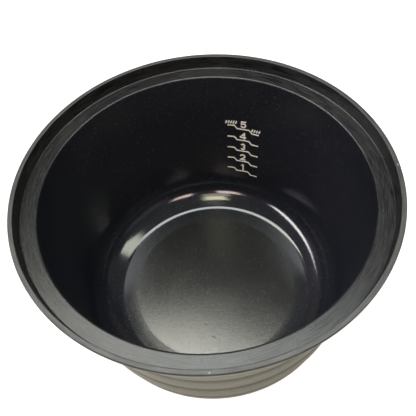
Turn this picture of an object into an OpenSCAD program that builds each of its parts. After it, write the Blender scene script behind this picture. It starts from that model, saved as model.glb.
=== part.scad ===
// Inner cooking pot of a rice cooker: a pressed aluminium bowl with a stepped rim, a black non-stick lining,
// a metallic coat on the ribbed outside, and printed water levels on the inner wall.
// Z is up, the origin is the centre of the base, and the level marks are on the +Y side of the wall.

/* [Pot] */
// Outside diameter across the lip
rim_d = 220; // [218:1:226]
// Clear diameter of the mouth
mouth_d = 193.3; // [191:0.1:194]
// Height from the base to the top of the lip
pot_h = 128.5; // [126:0.5:131]
// Thickness of the wall and floor, with both coats
wall_t = 2.8; // [2.4:0.1:3.2]
// Lean of the wall from upright, in degrees
wall_lean = 5.2; // [4.8:0.1:5.8]
// Diameter of the flat floor
floor_d = 117.3; // [114:0.1:119]
// Outer diameter of the shallow ledge round the floor
ledge_d = 140.6; // [138:0.1:140.8]
// Slope of the ledge, in degrees
ledge_rise = 3; // [2:0.5:5]
// Slope of the bevel beyond the ledge, in degrees
bevel_rise = 28; // [27.5:0.5:30]
// Inner radius of the heel between the bevel and the wall
heel_r = 23.6; // [21:0.1:23.8]
// Thickness of the lining and of the outer coat
film_t = 0.3; // [0.2:0.05:0.35]

/* [Rim] */
// Height of the lip above the seat
lip_h = 9; // [8:0.5:9.5]
// Width of the flat top of the lip
lip_w = 2.7; // [2.5:0.1:3]
// Width lost by the riser between the lip and the seat
riser_in = 1; // [0.8:0.1:1.2]
// Taper of the lip's outer wall, from its edge to its foot
lip_taper = 2; // [1.8:0.1:2.2]
// Height of the upright edge of the lip
edge_h = 1.8; // [1.4:0.1:2.2]
// Height of the coat's border above the foot of the upright edge
border_h = 0.3; // [0.2:0.05:0.5]
// Radius of the mouth's inner edge
mouth_round = 1.2; // [1:0.1:1.4]
// Radius of the corner under the lip's foot
foot_round = 2.2; // [1.8:0.1:2.4]
// Radius of the lip's top outer edge
edge_round = 0.5; // [0.4:0.05:0.7]

/* [Ribs] */
// Height of the lowest groove above the base
groove_z = 26; // [25:0.5:28]
// Distance from the highest groove to the round under the flange
groove_gap = 3.5; // [2:0.5:8]
// Number of ribs round the outside
rib_count = 4; // [3:1:5]
// Depth of a groove
groove_d = 0.9; // [0.4:0.1:1.2]

/* [Base] */
// Width of the coated ring between the bare heating pad and the rounds
pad_rim = 2.7; // [1.5:0.1:8]
// Height of the pad below the coat
pad_h = 0.3; // [0.2:0.1:0.5]

/* [Level marks] */
// Direction of the marks, turned from +Y towards +X, in degrees
mark_turn = 21; // [0:1:45]
// Height of the first water level above the base
level_z = 32; // [32:0.5:34]
// Distance from level to level
level_pitch = 10.85; // [10:0.05:11]
// Length of a level line from end to end
line_l = 23.8; // [20:0.1:26]
// Rise of each step in a level line
line_step = 2.8; // [1.5:0.1:3]
// Width of a printed stroke
stroke_w = 0.9; // [0.8:0.1:1.2]
// Height of a numeral
digit_h = 6.2; // [5.5:0.1:6.4]
// Thickness of the ink
ink_t = 0.2; // [0.15:0.05:0.25]

/* [Hidden] */
$fn = 96;

rim_r = rim_d / 2;
mouth_r = mouth_d / 2;
seat_z = pot_h - lip_h;
floor_z = wall_t + pad_h;
flange_z = seat_z - wall_t;
crease_r = 0.8;             // round between the seat and the riser
lip_round = 0.4;            // round on the lip's top inner edge
neck_r = 2;                 // round between the wall and the flange's underside
floor_round = 20;           // inner round between the floor and the ledge
knee_round = 9;             // inner round between the ledge and the bevel
border_z = pot_h - edge_h + border_h;
rib_pitch = (flange_z - neck_r - groove_gap - groove_z) / rib_count;
riser_lean = atan(riser_in / lip_h);
edge_lean = atan(lip_taper / (lip_h - edge_h));

// Distance of the inner wall's line from the axis, measured square to the wall
wall_c = mouth_r * cos(wall_lean) - seat_z * sin(wall_lean);

// Centre of the round of radius r in the corner at p, where a slope of a0 meets a steeper one of a1
function round_c(p, r, a0, a1) = p - r * tan((a1 - a0) / 2) * [cos(a0), sin(a0)] + r * [-sin(a0), cos(a0)];

// Centres of the bowl's rounds, shared by the inside and the outside
knee = [ledge_d / 2, floor_z + (ledge_d - floor_d) / 2 * tan(ledge_rise)];
floor_c = round_c([floor_d / 2, floor_z], floor_round, 0, ledge_rise);
knee_c = round_c(knee, knee_round, ledge_rise, bevel_rise);
// The heel touches the bevel and the wall, so its centre lies heel_r from both lines
to_wall = wall_c - heel_r;
to_bevel = knee * [-sin(bevel_rise), cos(bevel_rise)] + heel_r;
heel_c = [
    to_wall * cos(bevel_rise) + to_bevel * sin(wall_lean),
    to_wall * sin(bevel_rise) + to_bevel * cos(wall_lean)
] / cos(wall_lean + bevel_rise);
pad_r = floor_d / 2 - pad_rim;

// Bowl from the floor to the angle "last" of the heel, moved outward by "out"
function bowl(last, out = 0) = concat(
    arc(floor_c, floor_round + out, -90, ledge_rise - 90, 3),
    arc(knee_c, knee_round + out, ledge_rise - 90, bevel_rise - 90, 4),
    arc(heel_c, heel_r + out, bevel_rise - 90, last, 9)
);

// Radius of the wall at a height, moved outward square to the wall by "out"
function wall_x(z, out = 0) = (wall_c + out + z * sin(wall_lean)) / cos(wall_lean);

// Points of an arc about c, from angle a0 to angle a1, in n steps
function arc(c, r, a0, a1, n) = [for (i = [0:n]) let (a = a0 + (a1 - a0) * i / n) c + r * [cos(a), sin(a)]];

function backward(path) = [for (i = [len(path) - 1:-1:0]) path[i]];

// The path without its first point
function tail(path) = [for (i = [1:len(path) - 1]) path[i]];

// Unit normal on the right-hand side of the way from p to q
function right_of(p, q) = let (d = (q - p) / norm(q - p)) [d[1], -d[0]];

// The path moved to its right by d, with mitred corners
function moved(path, d) = [
    for (i = [0:len(path) - 1])
        let (
            before = right_of(path[max(i - 1, 0)], path[max(i, 1)]),
            last = len(path) - 1,
            after = right_of(path[min(i, last - 1)], path[min(i + 1, last)]),
            both = before + after
        )
        path[i] + both * (2 * d / (both * both))
];

// Closed outline between a path and the same path moved to its right
function band(path, d) = concat(path, backward(moved(path, d)));

// How deep the outside lies below the ribs' crests at a height: deepest at each groove
function groove(z) = groove_d * pow(0.5 + 0.5 * cos(360 * (z - groove_z) / rib_pitch), 1.5);

// Finished inside, from the middle of the floor, over the lip and down to the lining's border on its edge
mouth_c = [wall_x(seat_z - mouth_round, mouth_round), seat_z - mouth_round];
riser_x = rim_r - lip_w - riser_in;
crease_c = [riser_x - crease_r * (1 - sin(riser_lean)) / cos(riser_lean), seat_z + crease_r];
lip_c = [rim_r - lip_w + lip_round * (1 - sin(riser_lean)) / cos(riser_lean), pot_h - lip_round];
inside = concat(
    [[0, floor_z]],
    bowl(-wall_lean),
    arc(mouth_c, mouth_round, 180 - wall_lean, 90, 5),
    arc(crease_c, crease_r, -90, -riser_lean, 4),
    arc(lip_c, lip_round, 180 - riser_lean, 90, 3),
    arc([rim_r - edge_round, pot_h - edge_round], edge_round, 90, 0, 4),
    [[rim_r, border_z]]
);

// Finished outside, from the heating pad's edge up to the same border
steps_per_rib = 10;
neck_c = [wall_x(flange_z - neck_r, wall_t + neck_r), flange_z - neck_r];
foot_x = rim_r - lip_taper;
foot_lift = wall_t + lip_h - foot_round - edge_h;
foot_c = [rim_r - (foot_round + foot_lift * sin(edge_lean)) / cos(edge_lean), flange_z + foot_round];
ribbed = [
    for (i = [0:rib_count * steps_per_rib])
        let (z = groove_z + rib_pitch * i / steps_per_rib)
        [wall_x(z, wall_t - groove(z)), z]
];
outside = concat(
    [[pad_r, pad_h]],
    bowl(-26, wall_t),
    ribbed,
    arc(neck_c, neck_r, 180 - wall_lean, 90, 4),
    arc(foot_c, foot_round, -90, -edge_lean, 5),
    [[rim_r, pot_h - edge_h], [rim_r, border_z]]
);

module pot_shell() {
    metal_in = moved(inside, film_t);
    metal_out = moved(outside, -film_t);
    pad = [[pad_r, 0], [0, 0]];
    color([0.74, 0.75, 0.76])
        rotate_extrude()
            polygon(concat(metal_in, tail(backward(metal_out)), pad));
}

module nonstick_lining() {
    color([0.09, 0.10, 0.11])
        rotate_extrude()
            polygon(band(inside, film_t));
}

module outer_coat() {
    color([0.60, 0.58, 0.52])
        rotate_extrude()
            polygon(band(outside, -film_t));
}

// Prints a flat outline onto the inner wall, with z0 as the outline's own zero height
module printed(z0) {
    low = level_z - 8;
    high = level_z + 5 * level_pitch;
    skin = [
        [wall_x(low), low], [wall_x(high), high],
        [wall_x(high, -ink_t), high], [wall_x(low, -ink_t), low]
    ];
    color([0.85, 0.84, 0.80])
        intersection() {
            rotate_extrude()
                polygon(skin);
            rotate([0, 0, -mark_turn])
                translate([0, rim_r, z0])
                    rotate([90, 0, 0])
                        linear_extrude(rim_r / 2)
                            children();
        }
}

// Straight stroke between two points
module stroke(p, q, w) {
    polygon(band([p + w / 2 * right_of(q, p), q + w / 2 * right_of(q, p)], w));
}

// Curved stroke of a width along an arc
module bend(c, r, a0, a1, w) {
    polygon(concat(arc(c, r + w / 2, a0, a1, 12), arc(c, r - w / 2, a1, a0, 12)));
}

function level(n) = level_z + (n - 1) * level_pitch;

module level_line(n) {
    flat = line_l * 0.19;
    step_x = line_l * 0.28;
    route = [
        [-line_l / 2, line_step], [-step_x, line_step], [-flat, 0],
        [flat, 0], [step_x, -line_step], [line_l / 2, -line_step]
    ];
    printed(level(n))
        polygon(band(moved(route, -stroke_w / 2), stroke_w));
}

module digit_1(h, w) {
    stroke([0.5, 0], [0.5, h], w);
    stroke([0.5, h - w / 2], [-1.1, h - w * 1.2], w * 0.85);
}

module digit_2(h, w) {
    r = h * 0.27;
    top = [0, h - r - w / 2];
    bend(top, r, 170, -40, w);
    stroke(top + r * [cos(40), -sin(40)], [-r + w * 0.1, w / 2], w);
    stroke([-r - w / 2, w / 2], [r + w / 2, w / 2], w);
}

module digit_3(h, w) {
    r_top = h * 0.21;
    r_low = (h - w - 2 * r_top) / 2;
    bend([0, h - r_top - w / 2], r_top, 160, -90, w);
    bend([0, r_low + w / 2], r_low, 90, -160, w);
}

module digit_4(h, w) {
    stroke([0.9, 0], [0.9, h], w);
    stroke([-2.5, h * 0.27], [2.4, h * 0.27], w * 0.95);
    stroke([-2.2, h * 0.27], [0.9, h - w * 0.4], w);
}

module digit_5(h, w) {
    r = h * 0.28;
    low = [-0.1, r + w / 2];
    bend(low, r, 125, -160, w);
    stroke([-1.5, h * 0.46], [-1.2, h], w);
    stroke([-1.5, h - w / 2], [2, h - w / 2], w);
}

module numeral(n) {
    w = stroke_w * 1.25;
    gap = stroke_w / 2 + 0.8;
    printed(level(n) + gap) {
        if (n == 1) digit_1(digit_h, w);
        if (n == 2) digit_2(digit_h, w);
        if (n == 3) digit_3(digit_h, w);
        if (n == 4) digit_4(digit_h, w);
        if (n == 5) digit_5(digit_h, w);
    }
}

// One grain of rice, standing upright about its own middle
module grain(l, w) {
    polygon([for (a = [0:20:340]) [w / 2 * cos(a), l / 2 * sin(a)]]);
}

// A row of leaning grains over one end of the top line
module grains(count, pitch, l, w, lean) {
    for (i = [0:count - 1])
        translate([(i - (count - 1) / 2) * pitch, 0])
            rotate(-lean)
                grain(l, w);
}

module rice_mark_left() {
    printed(level(5) + line_step + stroke_w / 2 + 2.4)
        translate([-line_l * 0.385, 0])
            grains(5, 1.8, 3.2, 1.1, 20);
}

module rice_mark_right() {
    printed(level(5) - line_step + stroke_w / 2 + 2.6)
        translate([line_l * 0.4, 0])
            grains(4, 1.8, 3.2, 1.1, 20);
}

pot_shell();
nonstick_lining();
outer_coat();
level_line(1);  // level_line_1
level_line(2);  // level_line_2
level_line(3);  // level_line_3
level_line(4);  // level_line_4
level_line(5);  // level_line_5
numeral(1);  // numeral_1
numeral(2);  // numeral_2
numeral(3);  // numeral_3
numeral(4);  // numeral_4
numeral(5);  // numeral_5
rice_mark_left();
rice_mark_right();
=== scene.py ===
"""Looks of a rice cooker's inner pot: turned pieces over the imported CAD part, finishes, light and camera."""

import math

import bmesh
import bpy
from mathutils import Matrix, Vector


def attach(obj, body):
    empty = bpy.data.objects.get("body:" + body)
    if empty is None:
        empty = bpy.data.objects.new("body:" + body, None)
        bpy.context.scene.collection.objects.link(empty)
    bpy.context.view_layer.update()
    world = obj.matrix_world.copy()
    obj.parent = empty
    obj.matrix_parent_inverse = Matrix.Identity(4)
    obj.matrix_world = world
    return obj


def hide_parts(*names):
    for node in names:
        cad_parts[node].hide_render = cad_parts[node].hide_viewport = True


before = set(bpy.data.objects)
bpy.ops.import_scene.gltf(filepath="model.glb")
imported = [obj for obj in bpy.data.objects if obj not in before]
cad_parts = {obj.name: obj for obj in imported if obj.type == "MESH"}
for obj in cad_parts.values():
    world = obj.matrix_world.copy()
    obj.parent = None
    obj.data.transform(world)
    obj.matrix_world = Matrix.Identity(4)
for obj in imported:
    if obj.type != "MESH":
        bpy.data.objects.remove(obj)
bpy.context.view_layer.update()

# Sizes in millimetres, as the part's source has them
MM = 0.001
RIM_R = 110.0
MOUTH_R = 96.65
POT_H = 128.5
WALL_T = 2.8
WALL_LEAN = math.radians(5.2)
FLOOR_R = 58.65
LEDGE_R = 70.3
LEDGE_RISE = math.radians(3.0)
BEVEL_RISE = math.radians(28.0)
FLOOR_ROUND = 20.0
KNEE_ROUND = 9.0
HEEL_R = 23.6
FILM_T = 0.3
LIP_H = 9.0
LIP_W = 2.7
RISER_IN = 1.0
LIP_TAPER = 2.0
EDGE_H = 1.8
BORDER_H = 0.3
MOUTH_ROUND = 1.2
FOOT_ROUND = 2.2
EDGE_ROUND = 0.5
CREASE_R = 0.8
LIP_ROUND = 0.4
NECK_R = 2.0
GROOVE_Z = 26.0
GROOVE_GAP = 3.5
RIB_COUNT = 4
GROOVE_D = 0.9
PAD_RIM = 2.7
PAD_H = 0.3

SEAT_Z = POT_H - LIP_H
FLOOR_Z = WALL_T + PAD_H
FLANGE_Z = SEAT_Z - WALL_T
BORDER_Z = POT_H - EDGE_H + BORDER_H
RIB_PITCH = (FLANGE_Z - NECK_R - GROOVE_GAP - GROOVE_Z) / RIB_COUNT
RIBS_TOP = GROOVE_Z + RIB_PITCH * RIB_COUNT
WALL_C = MOUTH_R * math.cos(WALL_LEAN) - SEAT_Z * math.sin(WALL_LEAN)
PAD_R = FLOOR_R - PAD_RIM

# Length of the flat strip that keeps a round's shading off the flat beside it
HELD = 0.25
TURNS = 240
STEPS_PER_RIB = 20
# Angle in degrees at which the outside's heel meets the lowest rib
HEEL_END = -26

# Wear: place (x, y), turn in degrees, length and width
NICKS = ((-9.7, -31.5, -28, 1.7, 0.35), (-4.4, -41.9, -36, 2.1, 0.35))
CHIPS = ((-6.5, -108.8, 10, 0.5, 0.3), (108.6, -4.0, 80, 0.9, 0.3))

# Height of the lamps, in metres
CEILING = 1.5


# ---- Outlines: points (radius, height) in millimetres, joined up by the lathe ----

def wall_x(z, out=0.0):
    """Radius of the wall at a height, moved outward square to the wall."""
    return (WALL_C + out + z * math.sin(WALL_LEAN)) / math.cos(WALL_LEAN)


def arc(centre, radius, start, end, steps):
    """Points of an arc, from one angle in degrees to another."""
    turned = [math.radians(start + (end - start) * i / steps) for i in range(steps + 1)]
    return [(centre[0] + radius * math.cos(a), centre[1] + radius * math.sin(a)) for a in turned]


def moved(path, distance):
    """The path moved to its right, with mitred corners."""
    rights = []
    for p, q in zip(path, path[1:]):
        step = Vector(q) - Vector(p)
        rights.append(Vector((step.y, -step.x)).normalized())
    result = []
    for i, p in enumerate(path):
        both = rights[max(i - 1, 0)] + rights[min(i, len(rights) - 1)]
        result.append(tuple(Vector(p) + both * (2 * distance / both.length_squared)))
    return result


def round_centre(corner, radius, before, after):
    """Centre of a round in a corner between a slope and a steeper one, both in radians."""
    back = radius * math.tan((after - before) / 2)
    x = corner[0] - back * math.cos(before) - radius * math.sin(before)
    return (x, corner[1] - back * math.sin(before) + radius * math.cos(before))


def heel_centre(knee):
    """Centre of the heel, which touches the bevel and the wall."""
    to_wall = WALL_C - HEEL_R
    to_bevel = knee[1] * math.cos(BEVEL_RISE) - knee[0] * math.sin(BEVEL_RISE) + HEEL_R
    x = to_wall * math.cos(BEVEL_RISE) + to_bevel * math.sin(WALL_LEAN)
    z = to_wall * math.sin(BEVEL_RISE) + to_bevel * math.cos(WALL_LEAN)
    spread = math.cos(WALL_LEAN + BEVEL_RISE)
    return (x / spread, z / spread)


def bowl(last, out=0.0):
    """Floor round, ledge, knee, bevel and heel, moved outward; the heel ends at an angle in degrees."""
    ledge, bevel = math.degrees(LEDGE_RISE), math.degrees(BEVEL_RISE)
    knee = (LEDGE_R, FLOOR_Z + (LEDGE_R - FLOOR_R) * math.tan(LEDGE_RISE))
    floor_c = round_centre((FLOOR_R, FLOOR_Z), FLOOR_ROUND, 0, LEDGE_RISE)
    knee_c = round_centre(knee, KNEE_ROUND, LEDGE_RISE, BEVEL_RISE)
    path = arc(floor_c, FLOOR_ROUND + out, -90, ledge - 90, 12)
    path += arc(knee_c, KNEE_ROUND + out, ledge - 90, bevel - 90, 16)
    path += arc(heel_centre(knee), HEEL_R + out, bevel - 90, last, 56)
    return path


def groove(z):
    """How deep the outside lies below the ribs' crests at a height."""
    narrowing = 1.5
    wave = 0.5 + 0.5 * math.cos(2 * math.pi * (z - GROOVE_Z) / RIB_PITCH)
    return GROOVE_D * wave ** narrowing


def inside():
    """Finished inside, from the middle of the floor, over the lip, to the lining's border on its edge."""
    lean = math.degrees(WALL_LEAN)
    riser_lean = math.atan(RISER_IN / LIP_H)
    pinch = (1 - math.sin(riser_lean)) / math.cos(riser_lean)
    riser_x = RIM_R - LIP_W - RISER_IN
    mouth = (wall_x(SEAT_Z - MOUTH_ROUND, MOUTH_ROUND), SEAT_Z - MOUTH_ROUND)
    crease = (riser_x - CREASE_R * pinch, SEAT_Z + CREASE_R)
    lip = (RIM_R - LIP_W + LIP_ROUND * pinch, POT_H - LIP_ROUND)
    riser = math.degrees(riser_lean)
    round_in = bowl(-lean)
    flat_end = round_in[0][0] - HELD
    path = [(0.0, FLOOR_Z), (flat_end * 0.5, FLOOR_Z), (flat_end, FLOOR_Z)] + round_in
    wall_rings = (FLOOR_Z + 26, FLOOR_Z + 66, SEAT_Z - MOUTH_ROUND - HELD)
    path += [(wall_x(z), z) for z in wall_rings]
    path += arc(mouth, MOUTH_ROUND, 180 - lean, 90, 12)
    path += [(mouth[0] + HELD, SEAT_Z), (crease[0] - HELD, SEAT_Z)]
    path += arc(crease, CREASE_R, -90, -riser, 9)
    path += arc(lip, LIP_ROUND, 180 - riser, 90, 7)
    path += [(lip[0] + HELD, POT_H), (RIM_R - EDGE_ROUND - HELD, POT_H)]
    path += arc((RIM_R - EDGE_ROUND, POT_H - EDGE_ROUND), EDGE_ROUND, 90, 0, 8)
    path += [(RIM_R, BORDER_Z)]
    return path


def outside():
    """Finished outside, from the heating pad's edge to the same border."""
    lean = math.degrees(WALL_LEAN)
    edge_lean = math.atan(LIP_TAPER / (LIP_H - EDGE_H))
    edge = math.degrees(edge_lean)
    neck = (wall_x(FLANGE_Z - NECK_R, WALL_T + NECK_R), FLANGE_Z - NECK_R)
    lift = WALL_T + LIP_H - FOOT_ROUND - EDGE_H
    foot_x = RIM_R - (FOOT_ROUND + lift * math.sin(edge_lean)) / math.cos(edge_lean)
    round_out = bowl(HEEL_END, WALL_T)
    path = [(PAD_R, PAD_H), (PAD_R + HELD, PAD_H), (round_out[0][0] - HELD, PAD_H)] + round_out
    for i in range(RIB_COUNT * STEPS_PER_RIB + 1):
        z = GROOVE_Z + RIB_PITCH * i / STEPS_PER_RIB
        path.append((wall_x(z, WALL_T - groove(z)), z))
    path += arc(neck, NECK_R, 180 - lean, 90, 12)
    path += arc((foot_x, FLANGE_Z + FOOT_ROUND), FOOT_ROUND, -90, -edge, 14)
    path += [(RIM_R, POT_H - EDGE_H), (RIM_R, BORDER_Z)]
    return path


# ---- Meshes ----

def placed(name, mesh):
    """A new object in the scene that shows a mesh."""
    piece = bpy.data.objects.new(name, mesh)
    bpy.context.scene.collection.objects.link(piece)
    return piece


def ring(bm, radius, height):
    """A ring of points at a height in millimetres, or one point where the outline meets the axis."""
    if radius < 1e-6:
        return [bm.verts.new((0, 0, height * MM))]
    points = []
    for i in range(TURNS):
        a = 2 * math.pi * i / TURNS
        points.append(bm.verts.new((radius * MM * math.sin(a), -radius * MM * math.cos(a), height * MM)))
    return points


def span(bm, low, high):
    """Faces between two rings, either of which may be one point."""
    if len(low) == 1 and len(high) == 1:
        return
    for i in range(TURNS):
        j = (i + 1) % TURNS
        if len(low) == 1:
            bm.faces.new((low[0], high[j], high[i]))
        elif len(high) == 1:
            bm.faces.new((low[i], low[j], high[0]))
        else:
            bm.faces.new((low[i], low[j], high[j], high[i]))


def lathe(name, outline):
    """A closed outline turned about the axis, with its corners sharp and its rounds smooth."""
    sharp = math.radians(35)
    mesh = bpy.data.meshes.new(name)
    bm = bmesh.new()
    rings = [ring(bm, radius, height) for radius, height in outline]
    for low, high in zip(rings, rings[1:] + rings[:1]):
        span(bm, low, high)
    bmesh.ops.recalc_face_normals(bm, faces=bm.faces)
    for face in bm.faces:
        face.smooth = True
    for edge in bm.edges:
        edge.smooth = edge.calc_face_angle(0) < sharp
    bm.to_mesh(mesh)
    bm.free()
    return placed(name, mesh)


def pot_shell():
    """The bare aluminium between the two coats, with the heating pad under it."""
    metal_in = moved(inside(), FILM_T)
    metal_out = moved(outside(), -FILM_T)[:-1]
    pad_round = 0.2
    pad = arc((PAD_R - pad_round, pad_round), pad_round, 0, -90, 4)
    return lathe("shell_metal", metal_in + metal_out[::-1] + pad + [(0.0, 0.0)])


def lining():
    """The thin non-stick film on the inside."""
    return lathe("lining_film", inside() + moved(inside(), FILM_T)[::-1])


def coat():
    """The thin beige film on the outside."""
    return lathe("coat_film", outside() + moved(outside(), -FILM_T)[::-1])


# ---- Finishes ----

class Finish:
    """A material's nodes, with a short call for each kind that the finishes share."""

    def __init__(self, name):
        self.material = bpy.data.materials.new(name)
        self.material.use_nodes = True
        self.tree = self.material.node_tree
        self.surface = self.tree.nodes["Principled BSDF"]
        self.place = self.tree.nodes.new("ShaderNodeTexCoord").outputs["Object"]

    def set(self, **values):
        """Sets the shader's own sockets, or links them where a value is another node's output."""
        for key, value in values.items():
            self.feed(self.surface.inputs[key.replace("_", " ")], value)

    def feed(self, socket, value):
        """Links another node's output to a socket, or sets a plain value on it."""
        if isinstance(value, bpy.types.NodeSocket):
            self.tree.links.new(value, socket)
        else:
            socket.default_value = value

    def math(self, operation, a, b=0.0):
        node = self.tree.nodes.new("ShaderNodeMath")
        node.operation = operation
        self.feed(node.inputs[0], a)
        self.feed(node.inputs[1], b)
        return node.outputs[0]

    def plus(self, a, b):
        return self.math("ADD", a, b)

    def times(self, a, b):
        return self.math("MULTIPLY", a, b)

    def ramp(self, value, low, high, out_low=0.0, out_high=1.0):
        """The value taken smoothly from one range to another."""
        node = self.tree.nodes.new("ShaderNodeMapRange")
        node.interpolation_type = "SMOOTHSTEP"
        for socket, number in zip(node.inputs, (value, low, high, out_low, out_high)):
            self.feed(socket, number)
        return node.outputs[0]

    def mix(self, share, a, b):
        """A colour between two."""
        node = self.tree.nodes.new("ShaderNodeMix")
        node.data_type = "RGBA"
        self.feed(node.inputs["Factor"], share)
        self.feed(node.inputs[6], a)
        self.feed(node.inputs[7], b)
        return node.outputs[2]

    def noise(self, per_metre, detail, rough, place=None):
        """Soft random greys; a place other than the object's own gives them a direction."""
        node = self.tree.nodes.new("ShaderNodeTexNoise")
        self.feed(node.inputs["Vector"], place or self.place)
        node.inputs["Scale"].default_value = per_metre
        node.inputs["Detail"].default_value = detail
        node.inputs["Roughness"].default_value = rough
        return node.outputs[0]

    def flakes(self, per_metre):
        """Cells of one size, each with a random colour."""
        node = self.tree.nodes.new("ShaderNodeTexVoronoi")
        self.feed(node.inputs["Vector"], self.place)
        node.inputs["Scale"].default_value = per_metre
        return node.outputs["Color"]

    def stretched(self, x, y, z):
        """The place with each axis scaled, for a grain that runs one way."""
        node = self.tree.nodes.new("ShaderNodeVectorMath")
        node.operation = "MULTIPLY"
        self.feed(node.inputs[0], self.place)
        node.inputs[1].default_value = (x, y, z)
        return node.outputs[0]

    def around(self):
        """Distance from the axis, and height, in metres."""
        flat = self.tree.nodes.new("ShaderNodeVectorMath")
        flat.operation = "LENGTH"
        self.feed(flat.inputs[0], self.stretched(1, 1, 0))
        apart = self.tree.nodes.new("ShaderNodeSeparateXYZ")
        self.feed(apart.inputs[0], self.place)
        return flat.outputs["Value"], apart.outputs["Z"]

    def turned(self, per_turn, per_metre):
        """A place that runs quickly across the rim and slowly round it, for a grain left by turning."""
        unit = self.tree.nodes.new("ShaderNodeVectorMath")
        unit.operation = "NORMALIZE"
        self.feed(unit.inputs[0], self.stretched(1, 1, 0))
        apart = self.tree.nodes.new("ShaderNodeSeparateXYZ")
        self.feed(apart.inputs[0], unit.outputs[0])
        radius, height = self.around()
        joined = self.tree.nodes.new("ShaderNodeCombineXYZ")
        self.feed(joined.inputs[0], self.times(apart.outputs[0], per_turn))
        self.feed(joined.inputs[1], self.times(apart.outputs[1], per_turn))
        self.feed(joined.inputs[2], self.times(self.plus(radius, height), per_metre))
        return joined.outputs[0]

    def scratch(self, x, y, turn, length, width):
        """1 within a small scratch, which is given in millimetres and degrees, and 0 around it."""
        node = self.tree.nodes.new("ShaderNodeMapping")
        node.vector_type = "TEXTURE"
        self.feed(node.inputs["Vector"], self.stretched(1, 1, 0))
        node.inputs["Location"].default_value = (x * MM, y * MM, 0)
        node.inputs["Rotation"].default_value = (0, 0, math.radians(turn))
        node.inputs["Scale"].default_value = (length * MM, width * MM, 1)
        away = self.tree.nodes.new("ShaderNodeVectorMath")
        away.operation = "LENGTH"
        self.feed(away.inputs[0], node.outputs[0])
        return self.ramp(away.outputs["Value"], 1.0, 0.7)

    def scratches(self, places):
        """1 within any scratch of a list."""
        total = 0.0
        for place in places:
            total = self.plus(total, self.scratch(*place))
        return total

    def bump(self, height, depth, strength=1.0):
        """Relief from a height between 0 and 1, for a depth in metres."""
        node = self.tree.nodes.new("ShaderNodeBump")
        node.inputs["Strength"].default_value = strength
        node.inputs["Distance"].default_value = depth
        self.feed(node.inputs["Height"], height)
        self.feed(self.surface.inputs["Normal"], node.outputs[0])


def nonstick():
    """Black non-stick with fine mica: glossy wall, grainy floor, turned seat and lip."""
    f = Finish("nonstick")
    radius, height = f.around()
    on_floor = f.ramp(radius, 66 * MM, 58 * MM)
    on_rim = f.ramp(height, (SEAT_Z - 0.7) * MM, (SEAT_Z - 0.1) * MM)
    on_lip = f.ramp(height, (POT_H - 0.7) * MM, (POT_H - 0.2) * MM)
    on_edge = f.ramp(radius, (RIM_R - 0.6) * MM, (RIM_R - 0.2) * MM)
    zones = (on_floor, on_rim, on_lip)
    grain = f.noise(1500, 3.0, 0.65)
    cloud = f.noise(38, 4.0, 0.55)
    streak = f.noise(1.0, 4.0, 0.6, f.turned(9.0, 1300.0))
    f.set(
        Base_Color=nonstick_colour(f, grain, cloud, streak, zones),
        Roughness=nonstick_roughness(f, cloud, height, zones),
        Specular_IOR_Level=nonstick_shine(f, on_floor, on_rim, on_edge),
    )
    floor_grain = f.times(grain, f.plus(f.times(on_floor, 1.4), 0.3))
    rim_grain = f.times(streak, on_rim)
    f.bump(f.plus(floor_grain, rim_grain), 0.00003)
    return f.material


def nonstick_colour(f, grain, cloud, streak, zones):
    """Near-black of the wall, the floor, the seat and the lip, with flecks of mica and two grey chips."""
    on_floor, on_rim, on_lip = zones
    specks = f.ramp(grain, 0.35, 0.65)
    lines = f.ramp(streak, 0.35, 0.65)
    mica = f.ramp(f.flakes(1500), 0.80, 0.95)
    wall = f.mix(cloud, (0.006, 0.0068, 0.0100, 1), (0.0095, 0.0103, 0.0140, 1))
    floor_black = f.mix(specks, (0.003, 0.003, 0.003, 1), (0.016, 0.016, 0.015, 1))
    rim = f.mix(lines, (0.003, 0.003, 0.0035, 1), (0.018, 0.018, 0.0185, 1))
    lip = f.mix(lines, (0.022, 0.022, 0.022, 1), (0.045, 0.045, 0.044, 1))
    colour = f.mix(on_floor, wall, floor_black)
    colour = f.mix(f.times(mica, 0.12), colour, (0.16, 0.16, 0.15, 1))
    colour = f.mix(on_rim, colour, rim)
    colour = f.mix(on_lip, colour, lip)
    return f.mix(f.times(f.scratches(CHIPS), on_lip), colour, (0.22, 0.225, 0.23, 1))


def nonstick_roughness(f, cloud, height, zones):
    """Smoothest low in the pot, rougher up the wall and most of all on the lip."""
    on_floor, on_rim, on_lip = zones
    rough = f.ramp(cloud, 0.3, 0.7, 0.10, 0.13)
    rough = f.plus(rough, f.ramp(height, 30 * MM, 50 * MM, 0.0, 0.14))
    for zone, more in ((on_floor, 0.02), (on_rim, 0.02), (on_lip, 0.14)):
        rough = f.plus(rough, f.times(zone, more))
    return rough


def nonstick_shine(f, on_floor, on_rim, on_edge):
    """Strength of the reflection: less on the rim, and less again on its edge and in the nicks."""
    nicks = f.times(f.scratches(NICKS), on_floor)
    dull = f.plus(f.times(on_edge, 0.28), f.times(nicks, 0.5))
    return f.math("SUBTRACT", f.ramp(on_rim, 0.0, 1.0, 0.55, 0.36), dull)


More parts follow.
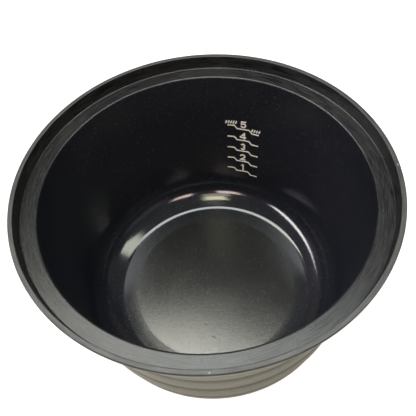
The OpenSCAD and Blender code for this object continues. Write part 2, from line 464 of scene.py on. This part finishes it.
def champagne():
    """Metallic beige coat on the outside: fine flakes, a soft sheen and painted shade in the grooves."""
    f = Finish("champagne_coat")
    tint = f.flakes(2600)
    cloud = f.noise(24, 4.0, 0.55)
    grain = f.noise(2200, 2.0, 0.6)
    _, height = f.around()
    above_first = f.math("SUBTRACT", height, GROOVE_Z * MM)
    wave = f.math("COSINE", f.times(above_first, math.tau / RIB_PITCH / MM))
    below_top = f.ramp(height, (RIBS_TOP - 2.2) * MM, (RIBS_TOP - 7.2) * MM)
    # Grooves, faded out near the top rib: the mask for the painted shade in the grooves and for their added
    # roughness
    groove_shade_and_rough = f.times(f.ramp(wave, 0.1, 1.0), below_top)
    sparkle = f.times(f.ramp(tint, 0.55, 0.95), 0.4)
    colour = f.mix(cloud, (0.144, 0.144, 0.113, 1), (0.182, 0.182, 0.144, 1))
    # Painted shade: the grooves' colour is drawn toward a dark olive
    colour = f.mix(f.times(groove_shade_and_rough, 0.6), colour, (0.045, 0.046, 0.035, 1))
    colour = f.mix(sparkle, colour, (0.50, 0.48, 0.40, 1))
    rough = f.plus(f.ramp(tint, 0.0, 1.0, 0.34, 0.44), f.times(groove_shade_and_rough, 0.2))
    f.set(Base_Color=colour, Roughness=rough, Metallic=0.6, IOR=1.45)
    f.bump(grain, 0.000006)
    return f.material


def turned_aluminium():
    """Bare metal with the fine rings of a lathe tool."""
    f = Finish("aluminium")
    radius, _ = f.around()
    cloud = f.noise(60, 4.0, 0.6)
    rings = f.math("SINE", f.plus(f.times(radius, 9000.0), f.times(cloud, 1.2)))
    passes = f.noise(1.0, 3.0, 0.6, f.turned(0.6, 800.0))
    colour = f.mix(f.ramp(passes, 0.35, 0.65), (0.50, 0.51, 0.52, 1), (0.80, 0.81, 0.82, 1))
    f.set(Base_Color=colour, Roughness=f.ramp(rings, -1.0, 1.0, 0.24, 0.36), Metallic=1.0)
    f.bump(rings, 0.00001, 0.6)
    return f.material


def ink():
    """Cream screen print with a slightly uneven coat."""
    f = Finish("ink")
    patch = f.noise(900, 3.0, 0.6)
    colour = f.mix(f.ramp(patch, 0.35, 0.7), (0.50, 0.48, 0.42, 1), (0.72, 0.70, 0.63, 1))
    f.set(Base_Color=colour, Roughness=f.ramp(patch, 0.3, 0.7, 0.4, 0.6), IOR=1.5)
    f.bump(patch, 0.00002, 0.5)
    return f.material


def dress(piece, material):
    """Gives a turned piece its one material."""
    piece.data.materials.clear()
    piece.data.materials.append(material)


def build():
    """Turned pieces in place of three CAD ones, and the CAD's own print in cream ink."""
    turned = (
        (pot_shell(), "pot_shell", "aluminium", turned_aluminium()),
        (lining(), "nonstick_lining", "nonstick", nonstick()),
        (coat(), "outer_coat", "champagne_coat", champagne()),
    )
    cream = ink()
    for piece, node, slot, material in turned:
        dress(piece, material)
        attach(piece, "root")
        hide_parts(node)
    replaced = {node for _, node, _, _ in turned}
    for node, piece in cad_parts.items():
        if node not in replaced:
            dress_cad(piece, cream)


def dress_cad(piece, material):
    """Puts the ink on a piece of the CAD frame, whether or not it brought a material."""
    for place in piece.material_slots:
        place.material = material
    if not piece.material_slots:
        piece.data.materials.append(material)


# ---- Stage, light and camera ----

def paper(name, outline, base, glow):
    """A large pale sheet, turned about the axis from points (radius, height) in metres."""
    steps = 96
    points = []
    for radius, height in outline:
        for i in range(steps):
            a = 2 * math.pi * i / steps
            points.append((radius * math.cos(a), radius * math.sin(a), height))
    faces = [range(steps)]
    for level in range(len(outline) - 1):
        low = level * steps
        high = low + steps
        for i in range(steps):
            j = (i + 1) % steps
            faces.append((low + i, low + j, high + j, high + i))
    mesh = bpy.data.meshes.new(name)
    mesh.from_pydata(points, [], faces)
    sheet = placed(name, mesh)
    f = Finish(name)
    f.set(Base_Color=(base, base, base, 1), Roughness=0.9)
    f.set(Emission_Color=(1, 1, 1, 1), Emission_Strength=glow)
    sheet.data.materials.append(f.material)
    return sheet


def floor():
    """A white backdrop that only the camera sees, and under it the sheet that lights the pot."""
    rising = ((3.0, -0.0004), (3.6, 0.2), (4.0, 0.8), (4.0, 8.0))
    seen = paper("floor_seen", rising, 0.3, 0.8)
    seen.visible_diffuse = False
    seen.visible_glossy = False
    seen.visible_shadow = False
    lit = paper("floor_lit", ((4.0, -0.0006),), 0.48, 0.0)
    lit.visible_camera = False


def surroundings(level):
    """An even white light of one level from all round."""
    world = bpy.data.worlds.new("studio")
    bpy.context.scene.world = world
    world.use_nodes = True
    background = world.node_tree.nodes["Background"]
    background.inputs["Color"].default_value = (1.0, 1.0, 1.0, 1)
    background.inputs["Strength"].default_value = level


def lamp(name, outline, radiance, colour):
    """A flat glowing sheet at ceiling height; its corners are slopes x/z and y/z as seen from the pot."""
    mesh = bpy.data.meshes.new(name)
    corners = [(x * CEILING, y * CEILING, CEILING) for x, y in outline]
    mesh.from_pydata(corners, [], [range(len(corners))])
    sheet = placed(name, mesh)
    f = Finish(name)
    f.set(Base_Color=(0, 0, 0, 1), Emission_Color=(*colour, 1), Emission_Strength=radiance)
    sheet.data.materials.append(f.material)
    sheet.visible_camera = False


def lights():
    """A panel overhead in two halves, a strip to its right, a band at the left, four panes by the camera."""
    cool = (0.95, 1.02, 1.02)
    sunny = (1.01, 1.01, 0.90)
    straw = (1.03, 1.07, 0.90)
    warm = (1.12, 1.07, 0.80)
    pink = (1.2, 0.95, 0.86)
    plain = (1.03, 0.97, 1.0)
    near_half = (
        (-0.46, 0.12), (-0.22, -0.04), (0.0, -0.08), (0.22, -0.04),
        (0.45, 0.02), (0.45, 0.21), (0.3, 0.25), (-0.46, 0.25),
    )
    far_half = (
        (-0.46, 0.251), (0.29, 0.251), (0.09, 0.31), (0.03, 0.36),
        (-0.03, 0.41), (-0.4, 0.43), (-0.46, 0.41),
    )
    lamp("panel", near_half, 10.5, cool)
    lamp("panel_far", far_half, 13.5, sunny)
    lamp("strip", ((0.46, 0.0), (1.12, -0.05), (1.12, 0.14), (0.46, 0.26)), 9.0, straw)
    lamp("warm", ((-0.24, -0.66), (0.02, -0.66), (0.0, -0.36), (-0.20, -0.34)), 12.0, warm)
    lamp("warm_glow", ((-0.42, -1.0), (0.05, -1.0), (0.03, -0.67), (-0.32, -0.67)), 4.5, warm)
    lamp("pink_right", ((0.28, -1.45), (0.68, -1.5), (0.68, -1.08), (0.26, -1.05)), 12.0, pink)
    lamp("pink_left", ((-0.75, -1.5), (-0.26, -1.45), (-0.24, -1.05), (-0.70, -1.02)), 12.0, pink)
    lamp("left", ((-1.55, -0.65), (-1.12, -0.65), (-1.00, 0.85), (-1.43, 0.85)), 20.0, plain)


def camera():
    """The camera looks down into the pot, from the side opposite the level marks."""
    turn = math.radians(0.26)
    tilt = math.radians(54.17)
    roll = math.radians(-5.92)
    forward = Vector((math.sin(turn) * math.cos(tilt), math.cos(turn) * math.cos(tilt), -math.sin(tilt)))
    right = forward.cross(Vector((0, 0, 1))).normalized()
    down = forward.cross(right)
    across = right * math.cos(roll) - down * math.sin(roll)
    below = right * math.sin(roll) + down * math.cos(roll)
    data = bpy.data.cameras.new("camera")
    data.lens = 45.48
    data.clip_start = 0.01
    eye = bpy.data.objects.new("camera", data)
    bpy.context.scene.collection.objects.link(eye)
    place = Matrix.Translation((0, -0.18559, 0.35825))
    facing = Matrix((across, -below, -forward)).transposed().to_4x4()
    eye.matrix_world = place @ facing
    bpy.context.scene.camera = eye


build()
floor()
surroundings(0.2)
lights()
camera()
bpy.context.scene.view_settings.view_transform = "Standard"
